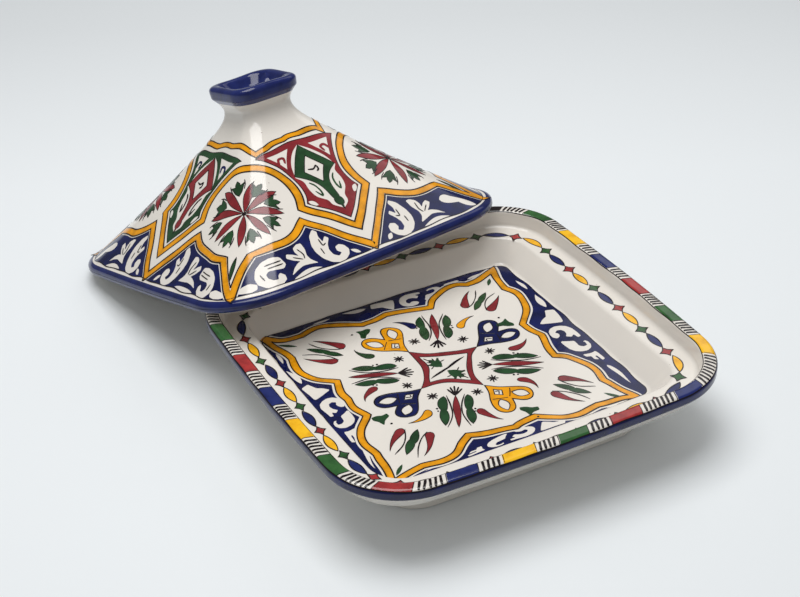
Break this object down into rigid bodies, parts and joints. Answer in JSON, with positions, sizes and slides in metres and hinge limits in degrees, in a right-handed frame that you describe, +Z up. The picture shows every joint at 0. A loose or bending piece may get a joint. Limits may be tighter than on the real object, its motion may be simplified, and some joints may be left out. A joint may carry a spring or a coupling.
{
  "type": "tagine pot",
  "caption": "Square serving tagine in painted, glazed earthenware: a shallow dish on a foot ring with a seat for its lid, and a steep hollow lid with a cupped knob, set aside on the rim.",
  "frame": {"origin": "on the table, under the middle of the dish", "axes": "+Z up; +Y from the dish towards the lid that leans on its rim; +X along the rim that carries the lid"},
  "size_m": [0.2876, 0.4422, 0.1483],
  "materials": {
    "white_glaze": "glossy warm white glaze over pale earthenware",
    "blue_glaze": "glossy cobalt glaze, paler where it thins",
    "yellow_glaze": "brushed orange yellow under a clear gloss",
    "red_glaze": "brushed maroon under a clear gloss",
    "green_glaze": "brushed bottle green under a clear gloss",
    "dark_line": "thin dark brush line under a clear gloss"
  },
  "bodies": {
    "dish": {"dish": "white_glaze", "foot_ring": "white_glaze"},
    "lid": {"lid_shell": "white_glaze", "knob": "blue_glaze"}
  },
  "joints": [
    {"name": "lid_lift", "type": "slide", "parent": "dish", "child": "lid", "axis": [0, 0, 1], "range_m": [0, 0.2]}
  ]
}
